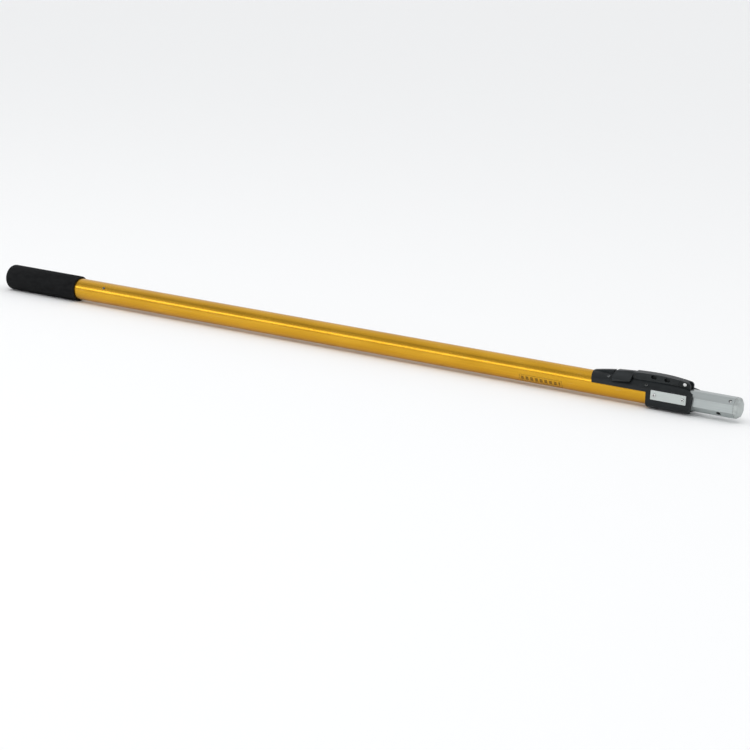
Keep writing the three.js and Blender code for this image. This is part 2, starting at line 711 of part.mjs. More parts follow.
// ---- Assembly ----
addInPlace(outerPole, 'outer_tube', outerTube(), goldAnodised());
addInPlace(outerPole, 'grip_sleeve', gripSleeve(), gripRubber());
addInPlace(outerPole, 'tube_end_plug', tubeEndPlug(), blackNylon());
addInPlace(outerPole, 'retract_stop', retractStop(), gripRubber());
addInPlace(outerPole, 'lock_housing', lockHousing(), blackNylon());
addInPlace(outerPole, 'guide_bush', guideBush(), bushAcetal());
addInPlace(outerPole, 'lever_pin', leverPin(), brightSteel());

for (const [label, side] of SIDES) {
  addInPlace(outerPole, `side_plate_${label}`, sidePlate(side), plateSteel());
  const tips = [TUBE_BORE + 0.3, 14.4];
  ['rear', 'front'].forEach((place, i) => {
    const screw = plateScrew(side, tips[i]).translate(PLATE_SCREW_X[i], 0, PLATE_SCREW_Z);
    addInPlace(outerPole, `plate_screw_${place}_${label}`, screw, brightSteel());
  });
  addRadial(outerPole, `roll_pin_${label}`, rollPin(), brightSteel(), ROLL_PIN_X, side, ROLL_PIN_ANGLE);
  const saddleRivet = rivet(2, SADDLE_RIVET_RADIUS, SADDLE_RIVET_SEAT, SADDLE_RIVET_TAIL, 0.8);
  addRadial(outerPole, `saddle_rivet_${label}`, saddleRivet, plateSteel(),
    SADDLE_RIVET_X, side, SADDLE_RIVET_ANGLE);
  const stopRivet = rivet(1.9, STOP_RIVET_RADIUS, TUBE_RADIUS + GAP, 10, 0.7);
  addRadial(outerPole, `stop_rivet_${label}`, stopRivet, plateSteel(),
    STOP_RIVET_X, side, STOP_RIVET_ANGLE);
  addRadial(innerPole, `nose_pin_${label}`, nosePin(), brightSteel(), NOSE_PIN_X, side, -side * 45);
  const slideRivet = rivet(2, SLIDE_RIVET_RADIUS, OCTAGON + GAP, 8, 0.7);
  addRadial(innerPole, `slide_plug_rivet_${label}`, slideRivet, plateSteel(),
    INNER_START + SLIDE_RIVET_SETBACK, side, 0);
}

addInPlace(innerPole, 'inner_tube', innerTube(), silverAnodised());
addInPlace(innerPole, 'nose_plug', nosePlug(), castAluminium());
addInPlace(innerPole, 'rear_slide_plug', rearSlidePlug(), bushAcetal());

addInPlace(leverGroup, 'cam_lever', camLever(), leverNylon());
addInPlace(leverGroup, 'thumb_pad', thumbPad(), leverNylon());
addInPlace(leverGroup, 'pad_screw', padScrew(), brightSteel());
addInPlace(shoeGroup, 'brake_shoe', brakeShoe(), brakeRubber());

export default pole;
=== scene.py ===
"""Roller extension pole: gold outer tube, octagonal inner tube and a cam-lever lock."""
import json
import math

import bmesh
import bpy
from mathutils import Matrix, Vector


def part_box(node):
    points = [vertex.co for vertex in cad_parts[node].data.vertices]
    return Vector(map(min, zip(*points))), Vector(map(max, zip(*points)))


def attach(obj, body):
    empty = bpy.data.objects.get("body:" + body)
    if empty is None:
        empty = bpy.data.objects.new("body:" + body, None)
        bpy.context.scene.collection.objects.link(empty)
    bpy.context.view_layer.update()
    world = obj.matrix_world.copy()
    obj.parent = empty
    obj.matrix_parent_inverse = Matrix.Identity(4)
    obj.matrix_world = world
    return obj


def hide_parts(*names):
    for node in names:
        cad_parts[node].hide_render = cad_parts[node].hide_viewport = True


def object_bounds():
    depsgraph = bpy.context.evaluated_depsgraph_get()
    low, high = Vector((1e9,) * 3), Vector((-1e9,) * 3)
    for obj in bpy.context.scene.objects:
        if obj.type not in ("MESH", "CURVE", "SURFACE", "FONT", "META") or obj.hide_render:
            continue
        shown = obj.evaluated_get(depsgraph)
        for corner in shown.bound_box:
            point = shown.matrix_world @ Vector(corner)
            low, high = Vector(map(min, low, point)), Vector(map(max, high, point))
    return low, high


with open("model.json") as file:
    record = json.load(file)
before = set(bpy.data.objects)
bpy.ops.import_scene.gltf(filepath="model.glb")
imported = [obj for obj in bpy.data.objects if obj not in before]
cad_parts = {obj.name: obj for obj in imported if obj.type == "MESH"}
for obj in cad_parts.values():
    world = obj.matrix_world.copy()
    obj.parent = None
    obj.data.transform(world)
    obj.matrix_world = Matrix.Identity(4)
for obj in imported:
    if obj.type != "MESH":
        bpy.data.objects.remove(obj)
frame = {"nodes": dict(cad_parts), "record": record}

CAD_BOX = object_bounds()
MM = 0.001
SIDES = (("right", -1), ("left", 1))
SMALL_STEPS = 40  # round a pin, rivet or screw
SMALL_SMOOTH = 40  # degrees: flatter edges than this are shaded smooth on small pieces

# ---- View and room ----
CAMERA_YAW = 30.66  # degrees
CAMERA_PITCH = 12.76
CAMERA_ROLL = -3.32
CAMERA_PLACE = (2.179, -2.5733, 0.6314)
CAMERA_LENS = 106.2
CAMERA_SENSOR = 36
CAMERA_REACH = 100

ROOM_WHITE = (0.95, 0.96, 0.97)  # what every matte surface is lit by
ROOM_TINT = 1.02  # blue against red and green in polished reflections
WALL_BLEND = 0.25  # how softly the front wall turns into the rear one overhead
# Walls as polished metal sees them: (height, brightness), the front one with a strip light.
FRONT_WALL = ((0.0, 0.85), (0.24, 0.6), (0.29, 3.2), (0.36, 3.2), (0.42, 0.75), (0.76, 0.32), (0.9, 0.8))
REAR_WALL = ((0.0, 0.6), (0.3, 0.8), (0.7, 0.85), (0.9, 0.8), (1.0, 0.8))
KEY_PLACE = (0.3, -1.4, 2.6)
KEY_AIM = (0.7, 0, 0)
KEY_SIZE = (3.0, 1.6)
KEY_POWER = 17

FLOOR_SIZE = 30
FLOOR_GAP = 0.2 * MM  # below the pole's lowest point
FLOOR_PAINT = (0.9, 0.9, 0.9)
FLOOR_ROUGHNESS = 0.9

# ---- Sizes of the turned pieces ----
GOLD_WALL = 1.2 * MM
GOLD_LIP = 0.35 * MM  # rounding of the tube's cut ends
GRIP_FLOOR = 4 * MM
GRIP_DOME = 6.5 * MM
GRIP_BEAD = 0.25 * MM
GRIP_BORE_GAP = 0.15 * MM
# Rivets, in millimetres: head and shank radius, dome height, depth of the hollow.
SADDLE_RIVET = (2.0, 1.5, 0.8, 1.6)
STOP_RIVET = (1.9, 1.3, 0.7, 1.5)
SLIDE_RIVET = (2.0, 1.3, 0.7, 1.3)
PLATE_SCREW = (2.3, 1.3, 0.9, 1.5)
RIVET_MOUTH = 0.4  # of the head's radius
PLATE_SCREW_MOUTH = 0.5
ROLL_PIN_RADIUS = 1.9 * MM
ROLL_PIN_BORE = 1.05 * MM
ROLL_PIN_CHAMFER = 0.25 * MM
ROLL_PIN_SWEEP = 336  # degrees; the rest is its slit
NOSE_PIN_RADIUS = 2.0 * MM
NOSE_PIN_CHAMFER = 0.5 * MM
AXLE_SHANK = 1.8 * MM
AXLE_HEAD = 2.5 * MM
AXLE_DOME = 1.1 * MM
PAD_SCREW_SHANK = 1.2 * MM
PAD_SCREW_HEAD = 2.1 * MM
PAD_SCREW_HEIGHT = 1.3 * MM

# ---- The printed mark: a frame round a row of plain bars ----
MARK_MIDDLE_X = 0.9155
MARK_MIDDLE_Z = -0.0078
MARK_HALF_LENGTH = 0.0315
MARK_HALF_HEIGHT = 0.0046
MARK_LINE = 0.6 * MM
MARK_BAR_TURNS = 900  # radians of the bars' wave in each metre
MARK_BAR_SHARE = -0.35  # the wave's level above which a bar is printed
MARK_INK = (0.06, 0.045, 0.02)


# ---- Camera, light and floor ----
def make_camera():
    """The eye is right of the tool end and a little above; the pole runs to the upper left."""
    yaw = math.radians(CAMERA_YAW)
    pitch = math.radians(CAMERA_PITCH)
    roll = math.radians(CAMERA_ROLL)
    forward = Vector((
        -math.sin(yaw) * math.cos(pitch),
        math.cos(yaw) * math.cos(pitch),
        -math.sin(pitch),
    ))
    level = Vector((math.cos(yaw), math.sin(yaw), 0))
    down = forward.cross(level)
    right = math.cos(roll) * level + math.sin(roll) * down
    below = -math.sin(roll) * level + math.cos(roll) * down
    data = bpy.data.cameras.new("camera")
    data.sensor_width = CAMERA_SENSOR
    data.lens = CAMERA_LENS
    data.clip_end = CAMERA_REACH
    camera = bpy.data.objects.new("camera", data)
    camera.matrix_world = Matrix((right, -below, -forward)).transposed().to_4x4()
    camera.location = CAMERA_PLACE
    bpy.context.scene.collection.objects.link(camera)
    bpy.context.scene.camera = camera


def soft_light(name, place, aim, size, power):
    """A rectangular lamp at place, facing aim."""
    data = bpy.data.lights.new(name, "AREA")
    data.shape = "RECTANGLE"
    data.size, data.size_y = size
    data.energy = power
    lamp = bpy.data.objects.new(name, data)
    lamp.location = place
    lamp.rotation_euler = (Vector(aim) - Vector(place)).to_track_quat("-Z", "Y").to_euler()
    bpy.context.scene.collection.objects.link(lamp)
    return lamp


def sky_ramp(tree, height, name, stops):
    """Brightness against height above the horizon, from 0 level with it to 1 overhead."""
    ramp = tree.nodes.new("ShaderNodeValToRGB")
    ramp.name = name
    elements = ramp.color_ramp.elements
    while len(elements) < len(stops):
        elements.new(0.5)
    for element, (place, level) in zip(elements, stops):
        element.position = place
        element.color = (level, level, ROOM_TINT * level, 1)
    tree.links.new(height, ramp.inputs["Fac"])
    return ramp.outputs["Color"]


def make_studio():
    """An even white room for matte surfaces; polished ones see its strip light and dim upper walls."""
    world = bpy.data.worlds.new("studio")
    world.use_nodes = True
    tree = world.node_tree
    background = tree.nodes["Background"]
    bpy.context.scene.world = world
    place = tree.nodes.new("ShaderNodeTexCoord").outputs["Generated"]
    parts = tree.nodes.new("ShaderNodeSeparateXYZ")
    tree.links.new(place, parts.inputs["Vector"])
    front = sky_ramp(tree, parts.outputs["Z"], "front_wall", FRONT_WALL)
    rear = sky_ramp(tree, parts.outputs["Z"], "rear_wall", REAR_WALL)
    side = tree.nodes.new("ShaderNodeMapRange")
    side.inputs["From Min"].default_value = -WALL_BLEND
    side.inputs["From Max"].default_value = WALL_BLEND
    tree.links.new(parts.outputs["Y"], side.inputs["Value"])
    room = tree.nodes.new("ShaderNodeMix")
    room.data_type = "RGBA"
    tree.links.new(side.outputs["Result"], room.inputs["Factor"])
    tree.links.new(front, room.inputs["A"])
    tree.links.new(rear, room.inputs["B"])
    kind = tree.nodes.new("ShaderNodeLightPath")
    seen = tree.nodes.new("ShaderNodeMix")
    seen.data_type = "RGBA"
    seen.inputs["A"].default_value = (*ROOM_WHITE, 1)
    tree.links.new(kind.outputs["Is Glossy Ray"], seen.inputs["Factor"])
    tree.links.new(room.outputs["Result"], seen.inputs["B"])
    tree.links.new(seen.outputs["Result"], background.inputs["Color"])
    key = soft_light("key", KEY_PLACE, KEY_AIM, KEY_SIZE, KEY_POWER)
    key.visible_glossy = False


def make_floor():
    """The pale floor just under the pole."""
    low = CAD_BOX[0][2]
    mesh = bpy.data.meshes.new("studio_floor")
    bm = bmesh.new()
    bmesh.ops.create_grid(bm, x_segments=1, y_segments=1, size=FLOOR_SIZE)
    bmesh.ops.translate(bm, verts=bm.verts, vec=(0, 0, low - FLOOR_GAP))
    bm.to_mesh(mesh)
    bm.free()
    floor = bpy.data.objects.new("studio_floor", mesh)
    bpy.context.scene.collection.objects.link(floor)
    paint = bpy.data.materials.new("studio_floor_paint")
    paint.use_nodes = True
    surface = paint.node_tree.nodes["Principled BSDF"]
    surface.inputs["Base Color"].default_value = (*FLOOR_PAINT, 1)
    surface.inputs["Roughness"].default_value = FLOOR_ROUGHNESS
    mesh.materials.append(paint)


# ---- Node helpers ----
class Shader:
    """A material under construction: its nodes, links and Principled surface."""

    def __init__(self, name, metallic=0.0, specular=0.5, coat=0.0):
        self.material = bpy.data.materials.new(name)
        self.material.use_nodes = True
        self.tree = self.material.node_tree
        self.surface = self.tree.nodes["Principled BSDF"]
        self.surface.inputs["Metallic"].default_value = metallic
        self.specular = specular
        self.unshaded_color = None
        self.surface.inputs["Coat Weight"].default_value = coat
        self.place = self.tree.nodes.new("ShaderNodeTexCoord").outputs["Object"]

    def link(self, source, target):
        self.tree.links.new(source, target)

    def stretched(self, scale, turn=(0, 0, 0)):
        """Object coordinates scaled along each axis, so that a pattern can run along the pole."""
        mapping = self.tree.nodes.new("ShaderNodeMapping")
        mapping.inputs["Scale"].default_value = scale
        mapping.inputs["Rotation"].default_value = turn
        self.link(self.place, mapping.inputs["Vector"])
        return mapping.outputs["Vector"]

    def noise(self, scale, detail=3.0, roughness=0.5, turn=(0, 0, 0)):
        """Noise of scale features in each metre, or a scale for each axis."""
        texture = self.tree.nodes.new("ShaderNodeTexNoise")
        texture.inputs["Scale"].default_value = 1.0
        texture.inputs["Detail"].default_value = detail
        texture.inputs["Roughness"].default_value = roughness
        size = scale if isinstance(scale, tuple) else (scale, scale, scale)
        self.link(self.stretched(size, turn), texture.inputs["Vector"])
        return texture.outputs["Fac"]

    def band(self, value, low, high, to_low, to_high):
        """Maps low to high onto to_low to to_high, and holds the ends beyond."""
        node = self.tree.nodes.new("ShaderNodeMapRange")
        ends = (("From Min", low), ("From Max", high), ("To Min", to_low), ("To Max", to_high))
        for key, number in ends:
            node.inputs[key].default_value = number
        self.link(value, node.inputs["Value"])
        return node.outputs["Result"]

    def math(self, operation, first, second):
        node = self.tree.nodes.new("ShaderNodeMath")
        node.operation = operation
        for socket, value in zip(node.inputs, (first, second)):
            if isinstance(value, (int, float)):
                socket.default_value = value
            else:
                self.link(value, socket)
        return node.outputs["Value"]

    def mix(self, factor, first, second):
        node = self.tree.nodes.new("ShaderNodeMix")
        node.data_type = "RGBA"
        self.link(factor, node.inputs["Factor"])
        for socket, color in ((node.inputs["A"], first), (node.inputs["B"], second)):
            if isinstance(color, tuple):
                socket.default_value = (*color, 1)
            else:
                self.link(color, socket)
        return node.outputs["Result"]

    def worn_edge(self, reach):
        """Near 1 within reach of a convex or concave edge, and 0 on open faces."""
        rounded = self.tree.nodes.new("ShaderNodeBevel")
        rounded.samples = 4
        rounded.inputs["Radius"].default_value = reach
        geometry = self.tree.nodes.new("ShaderNodeNewGeometry")
        dot = self.tree.nodes.new("ShaderNodeVectorMath")
        dot.operation = "DOT_PRODUCT"
        self.link(rounded.outputs["Normal"], dot.inputs[0])
        self.link(geometry.outputs["Normal"], dot.inputs[1])
        return self.band(dot.outputs["Value"], 0.995, 0.9, 0, 1)

    def color(self, value, shade_reach=0.0015):
        """Takes the colour with painted shade: near black, with less specular, in slots, seams, sockets,
        gaps and hollows close to other surfaces.
        """
        # Painted shade: an occlusion mask takes the colour towards near black and lowers the specular in
        # hollows and under parts.
        open_sky = self.tree.nodes.new("ShaderNodeAmbientOcclusion")
        open_sky.samples = 8
        open_sky.inputs["Distance"].default_value = shade_reach
        unshaded_share = self.band(open_sky.outputs["AO"], 0.25, 0.75, 0.06, 1)
        self.unshaded_color = value
        painted_shade = (0.002, 0.002, 0.002)
        self.link(self.mix(unshaded_share, painted_shade, value), self.surface.inputs["Base Color"])
        shaded_specular = self.math("MULTIPLY", unshaded_share, self.specular)
        self.link(shaded_specular, self.surface.inputs["Specular IOR Level"])

    def roughness(self, value):
        self.link(value, self.surface.inputs["Roughness"])

    def bump(self, height, strength, distance):
        """Adds the fine relief and returns the finished material."""
        node = self.tree.nodes.new("ShaderNodeBump")
        node.inputs["Strength"].default_value = strength
        node.inputs["Distance"].default_value = distance
        self.link(height, node.inputs["Height"])
        self.link(node.outputs["Normal"], self.surface.inputs["Normal"])
        return self.material


# ---- Finishes ----
def drawn_aluminium(name, deep, light, low_rough, high_rough):
    """An anodised extrusion: die lines along the pole, cloudy dye and fine handling scratches."""
    shader = Shader(name, metallic=0.92, specular=0.5, coat=0.15)
    shader.surface.inputs["Coat Roughness"].default_value = 0.22
    lines = shader.noise((4, 1800, 1800), detail=4, roughness=0.6)
    clouds = shader.noise((14, 60, 60), detail=2)
    slanted = shader.noise((45, 900, 900), detail=2, turn=(0, 0.05, 0.04))
    scratches = shader.band(slanted, 0.68, 0.74, 0, 1)
    tone = shader.math(
        "ADD", shader.math("MULTIPLY", lines, 0.6), shader.math("MULTIPLY", clouds, 0.4))
    dyed = shader.mix(shader.band(tone, 0.35, 0.65, 0, 1), deep, light)
    bare = tuple(min(1.0, 0.6 * part + 0.36) for part in light)
    scratched = shader.math("MULTIPLY", scratches, 0.22)
    rubbed = shader.math("MULTIPLY", shader.worn_edge(0.0005), 0.45)
    shader.color(shader.mix(shader.math("MAXIMUM", scratched, rubbed), dyed, bare))
    shader.roughness(shader.band(tone, 0.3, 0.7, low_rough, high_rough))
    return shader, shader.math("SUBTRACT", lines, shader.math("MULTIPLY", scratches, 0.5))


def gold_tube_finish():
    """Gold anodising with a plain framed mark of bars printed low on the right side."""
    shader, height = drawn_aluminium(
        "gold_anodised", (0.60, 0.31, 0.012), (0.76, 0.42, 0.028), 0.2, 0.28)
    parts = shader.tree.nodes.new("ShaderNodeSeparateXYZ")
    shader.link(shader.place, parts.inputs["Vector"])
    along, across, up = parts.outputs

    def within(value, middle, half):
        gap = shader.math("ABSOLUTE", shader.math("SUBTRACT", value, middle), 0)
        return shader.math("LESS_THAN", gap, half)

    def panel(half_length, half_height):
        inside = shader.math(
            "MULTIPLY",
            within(along, MARK_MIDDLE_X, half_length),
            within(up, MARK_MIDDLE_Z, half_height))
        return shader.math("MULTIPLY", inside, shader.math("LESS_THAN", across, 0))

    frame_line = shader.math(
        "SUBTRACT",
        panel(MARK_HALF_LENGTH, MARK_HALF_HEIGHT),
        panel(MARK_HALF_LENGTH - MARK_LINE, MARK_HALF_HEIGHT - MARK_LINE))
    wave = shader.math("SINE", shader.math("MULTIPLY", along, MARK_BAR_TURNS), 0)
    bars = shader.math(
        "MULTIPLY",
        panel(MARK_HALF_LENGTH - 4 * MARK_LINE, MARK_HALF_HEIGHT - 3.4 * MARK_LINE),
        shader.math("GREATER_THAN", wave, MARK_BAR_SHARE))
    ink = shader.math("MAXIMUM", frame_line, bars)
    fade = shader.band(shader.noise(900, detail=2), 0.3, 0.6, 0.45, 0.7)
    printed = shader.math("MULTIPLY", ink, fade)
    shader.color(shader.mix(printed, shader.unshaded_color, MARK_INK))
    rough = shader.surface.inputs["Roughness"].links[0].from_socket
    shader.roughness(shader.math("ADD", rough, shader.math("MULTIPLY", ink, 0.25)))
    return shader.bump(height, 0.25, 0.00004)


def silver_tube_finish():
    """Clear anodising, a little rougher than the gold."""
    shader, height = drawn_aluminium(
        "silver_anodised", (0.42, 0.455, 0.45), (0.51, 0.55, 0.545), 0.3, 0.4)
    return shader.bump(height, 0.3, 0.00005)


def cast_finish():
    """Die-cast aluminium, blasted to a fine even texture, bright on its worn edges."""
    shader = Shader("nose_casting", metallic=0.85, specular=0.5)
    pits = shader.noise(2600, detail=3)
    cloud = shader.noise(180, detail=3)
    tone = shader.band(cloud, 0.35, 0.65, 0, 1)
    base = shader.mix(tone, (0.40, 0.43, 0.42), (0.50, 0.535, 0.525))
    shader.color(shader.mix(shader.worn_edge(0.0006), base, (0.82, 0.83, 0.82)))
    shader.roughness(shader.band(cloud, 0.3, 0.7, 0.36, 0.5))
    return shader.bump(pits, 0.4, 0.0001)


def brushed_plate_finish():
    """Stainless plate brushed along its length."""
    shader = Shader("brushed_plate", metallic=0.75, specular=0.5)
    brush = shader.noise((60, 4500, 4500), detail=4, roughness=0.65)
    cloud = shader.noise(120, detail=2)
    tone = shader.band(brush, 0.3, 0.7, 0, 1)
    base = shader.mix(tone, (0.50, 0.54, 0.52), (0.62, 0.66, 0.645))
    shader.color(shader.mix(shader.worn_edge(0.0004), base, (0.85, 0.87, 0.86)))
    shader.roughness(shader.band(cloud, 0.3, 0.7, 0.3, 0.42))
    return shader.bump(brush, 0.3, 0.00005)


def zinc_finish(name, deep, light):
    """Zinc plating with faint clouding and turning marks."""
    shader = Shader(name, metallic=1.0, specular=0.5)
    cloud = shader.noise(700, detail=3)
    shader.color(shader.mix(shader.band(cloud, 0.35, 0.65, 0, 1), deep, light))
    shader.roughness(shader.band(cloud, 0.3, 0.7, 0.2, 0.34))
    return shader.bump(cloud, 0.2, 0.00004)


def moulded_finish(name, tones, rough, grain_scale, grain_depth, specular=0.22):
    """Moulded plastic or rubber: fine spark-eroded grain, cloudy sheen and polished edges."""
    deep, light, worn = tones
    shader = Shader(name, specular=specular)
    cloud = shader.noise((70, 160, 160), detail=4, roughness=0.6)
    speck = shader.noise(grain_scale, detail=3, roughness=0.65)
    slanted = shader.noise((160, 1100, 1100), detail=2, turn=(0, 0.35, 0.3))
    scuff = shader.band(slanted, 0.66, 0.74, 0, 0.35)
    base = shader.mix(shader.band(cloud, 0.35, 0.65, 0, 1), deep, light)
    rubbed = shader.math("MULTIPLY", shader.worn_edge(0.0006), 0.8)
    wear = shader.math("MAXIMUM", rubbed, scuff)
    shader.color(shader.mix(wear, base, worn))
    sheen = shader.band(cloud, 0.3, 0.7, rough - 0.05, rough + 0.07)
    shader.roughness(shader.math("SUBTRACT", sheen, shader.math("MULTIPLY", wear, 0.12)))
    return shader.bump(speck, 0.35, grain_depth)


# Deep, light and worn tone of each plastic and rubber.
BLACK_NYLON = ((0.008, 0.0098, 0.0108), (0.0135, 0.0165, 0.0178), (0.036, 0.041, 0.045))
LEVER_NYLON = ((0.013, 0.0155, 0.0165), (0.020, 0.0235, 0.025), (0.05, 0.056, 0.06))
GRIP_RUBBER = ((0.006, 0.0063, 0.007), (0.012, 0.0125, 0.013), (0.024, 0.025, 0.026))
BUSH_ACETAL = ((0.34, 0.36, 0.37), (0.44, 0.46, 0.47), (0.6, 0.62, 0.62))
BRAKE_RUBBER = ((0.05, 0.032, 0.024), (0.075, 0.05, 0.036), (0.12, 0.09, 0.07))
FINISH = {
    "gold_anodised": gold_tube_finish(),
    "silver_anodised": silver_tube_finish(),
    "nose_aluminium": cast_finish(),
    "plate_steel": brushed_plate_finish(),
    "bright_steel": zinc_finish("bright_zinc", (0.58, 0.59, 0.58), (0.72, 0.73, 0.72)),
    "black_nylon": moulded_finish("black_nylon", BLACK_NYLON, 0.46, 2400, 0.00008),
    "lever_nylon": moulded_finish("lever_nylon", LEVER_NYLON, 0.42, 2800, 0.00006),
    "grip_rubber": moulded_finish("grip_rubber", GRIP_RUBBER, 0.7, 1500, 0.00016, 0.08),
    "bush_acetal": moulded_finish("bush_acetal", BUSH_ACETAL, 0.4, 1800, 0.00003),
    "brake_rubber": moulded_finish("brake_rubber", BRAKE_RUBBER, 0.78, 1400, 0.00012),
}
DULL_STEEL = zinc_finish("dull_steel", (0.12, 0.126, 0.126), (0.20, 0.21, 0.21))


# ---- Making pieces ----
def finish_piece(bm, name, node, smooth_angle=35.0, look=None):
    """Turns the bmesh into a piece in its CAD node's place: hung under that node's body, finished as the
    node's slot or with look, and the node hidden.
    """
    for face in bm.faces:
        face.smooth = True
    limit = math.radians(smooth_angle)
    for edge in bm.edges:
        edge.smooth = len(edge.link_faces) == 2 and edge.calc_face_angle(0) < limit
    mesh = bpy.data.meshes.new(name)
    bm.to_mesh(mesh)
    bm.free()
    piece = bpy.data.objects.new(name, mesh)
    bpy.context.scene.collection.objects.link(piece)
    mesh.materials.append(look or FINISH[SLOT[node]])
    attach(piece, BODY[node])
    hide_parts(node)
    return piece


def merged_copy(node):
    """A welded copy of a node's mesh with its flat areas joined into single faces."""
    bm = bmesh.new()
    bm.from_mesh(frame["nodes"][node].data)
    bmesh.ops.remove_doubles(bm, verts=bm.verts, dist=2e-6)
    bmesh.ops.dissolve_limit(
        bm, angle_limit=math.radians(0.6), verts=bm.verts, edges=bm.edges, delimit={"NORMAL"})
    return bm


def soften(node, name, radius, segments, edge_angle=28.0):
    """A node's own shape with its sharp edges rounded over."""
    piece = finish_piece(merged_copy(node), name, node, edge_angle)
    bevel = piece.modifiers.new("rounded_edges", "BEVEL")
    bevel.width = radius
    bevel.segments = segments
    bevel.limit_method = "ANGLE"
    bevel.angle_limit = math.radians(edge_angle)
    bevel.use_clamp_overlap = True
    bevel.harden_normals = True


def spun(profile, turn=Matrix.Identity(4), steps=64):
    """A piece turned from a closed loop of (along, radius) points about +X, then put in place."""
    bm = bmesh.new()
    loop = [bm.verts.new((along, 0, radius)) for along, radius in profile]
    edges = [bm.edges.new((loop[i], loop[(i + 1) % len(loop)])) for i in range(len(loop))]
    axis_edges = [e for e in edges if all(v.co.z < 1e-9 for v in e.verts)]
    bmesh.ops.delete(bm, geom=axis_edges, context="EDGES")
    bmesh.ops.spin(
        bm, geom=bm.verts[:] + bm.edges[:], cent=(0, 0, 0), axis=(1, 0, 0),
        angle=2 * math.pi, steps=steps, use_merge=True)
    bmesh.ops.remove_doubles(bm, verts=bm.verts, dist=1e-6)
    bmesh.ops.recalc_face_normals(bm, faces=bm.faces)
    bmesh.ops.transform(bm, matrix=turn, verts=bm.verts)
    return bm


def rounded(profile, radius, steps=4):
    """The closed profile with each corner off the axis rounded over by an arc of up to radius."""
    points = [Vector(point) for point in profile]
    result = []
    for i, corner in enumerate(points):
        before = points[i - 1] - corner
        after = points[(i + 1) % len(points)] - corner
        reach = min(radius, 0.45 * before.length, 0.45 * after.length)
        if corner.y < 1e-9 or reach < 1e-6:
            result.append(tuple(corner))
            continue
        start = corner + before.normalized() * reach
        end = corner + after.normalized() * reach
        for k in range(steps + 1):
            t = k / steps
            point = (1 - t) ** 2 * start + 2 * t * (1 - t) * corner + t ** 2 * end
            result.append(tuple(point))
    return result


def pointing(origin, direction):
    """Places a piece turned about +X at origin, with its +X along direction."""
    turn = Vector((1, 0, 0)).rotation_difference(Vector(direction)).to_matrix().to_4x4()
    return Matrix.Translation(origin) @ turn


BODIES = frame["record"]["behaviour"]["bodies"]
BODY = {node: body for body, nodes in BODIES.items() for node in nodes}
SLOT = {part["node"]: part["material_slot"] for part in frame["record"]["subparts"]}


# ---- Tubes and grip ----
def gold_tube():
    """The round outer tube, open at both ends."""
    low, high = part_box("outer_tube")
    radius = high[2]
    bore = radius - GOLD_WALL
    profile = [(low[0], bore), (low[0], radius), (high[0], radius), (high[0], bore)]
    finish_piece(spun(rounded(profile, GOLD_LIP), steps=160), "gold_tube", "outer_tube")


def rubber_grip():
    """The sleeve, with a domed closed end, a rolled front lip and a shallow moulded bead behind it."""
    low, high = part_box("grip_sleeve")
    radius = high[2]
    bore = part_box("outer_tube")[1][2] + GRIP_BORE_GAP
    outline = [(low[0], 0)]
    for k in range(9):
        angle = k / 8 * math.pi / 2
        along = low[0] + GRIP_DOME * (1 - math.cos(angle))
        outline.append((along, radius - GRIP_DOME + GRIP_DOME * math.sin(angle)))
    lip = high[0] - 3 * MM
    outline += [
        (lip - 1.2 * MM, radius),
        (lip - 0.8 * MM, radius - GRIP_BEAD),
        (lip, radius - GRIP_BEAD),
        (lip + 0.4 * MM, radius - 0.1 * MM),
        (high[0] - 0.9 * MM, radius - 0.1 * MM),
        (high[0] - 0.25 * MM, radius - 0.5 * MM),
        (high[0], radius - 1.2 * MM),
        (high[0], bore + 0.3 * MM),
        (high[0] - 0.5 * MM, bore),
        (low[0] + GRIP_FLOOR, bore),
        (low[0] + GRIP_FLOOR, 0),
    ]
    finish_piece(spun(outline, steps=128), "rubber_grip", "grip_sleeve", SMALL_SMOOTH)


# ---- Pins, rivets and screws ----
def reach_along(node, origin, direction):
    """How far a node's own shape lies along a direction, from its nearest to its farthest point."""
    far = [(v.co - origin).dot(direction) for v in frame["nodes"][node].data.vertices]
    return min(far), max(far)


def middle_of(node):
    """The middle of a node's box."""
    low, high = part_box(node)
    return (Vector(low) + Vector(high)) / 2


def radial(node):
    """The place on the pole's axis and the outward direction of a pin or rivet."""
    middle = middle_of(node)
    return Vector((middle.x, 0, 0)), Vector((0, middle.y, middle.z)).normalized()


def rivet_profile(tip, top, sizes, mouth):
    """A blind rivet: shank, flat seat, low dome, and the hollow that the mandrel leaves."""
    head, shank, dome, dimple = (size * MM for size in sizes)
    seat = top - dome
    outline = [(tip, 0), (tip, 0.8 * shank), (tip + 0.2 * shank, shank), (seat, shank), (seat, head)]
    hollow = mouth * head
    last = math.acos(hollow / head)
    for k in range(7):
        angle = last * k / 6
        rise = 0.25 * dome + 0.75 * dome * math.sin(angle) / math.sin(last)
        outline.append((seat + rise, head * math.cos(angle)))
    floor = top - dimple
    outline += [(top - 0.7 * dimple, 0.9 * hollow), (floor, 0.7 * hollow), (floor, 0)]
    return outline


def small_turned(profile, origin, direction, name, node, look=None):
    """A pin, rivet or screw turned from its profile and set along direction."""
    piece = spun(profile, pointing(origin, direction), SMALL_STEPS)
    finish_piece(piece, name, node, SMALL_SMOOTH, look)


def blind_rivet(node, name, sizes, look=None):
    """A rivet that points out from the pole's axis."""
    origin, direction = radial(node)
    tip, top = reach_along(node, origin, direction)
    profile = rivet_profile(tip, top, sizes, RIVET_MOUTH)
    small_turned(profile, origin, direction, name, node, look)


def plate_screw(node, name, side):
    """A dished-head fastener across the side plate."""
    middle = middle_of(node)
    origin = Vector((middle.x, 0, middle.z))
    direction = Vector((0, side, 0))
    tip, top = reach_along(node, origin, direction)
    profile = rivet_profile(tip, top, PLATE_SCREW, PLATE_SCREW_MOUTH)
    small_turned(profile, origin, direction, name, node)


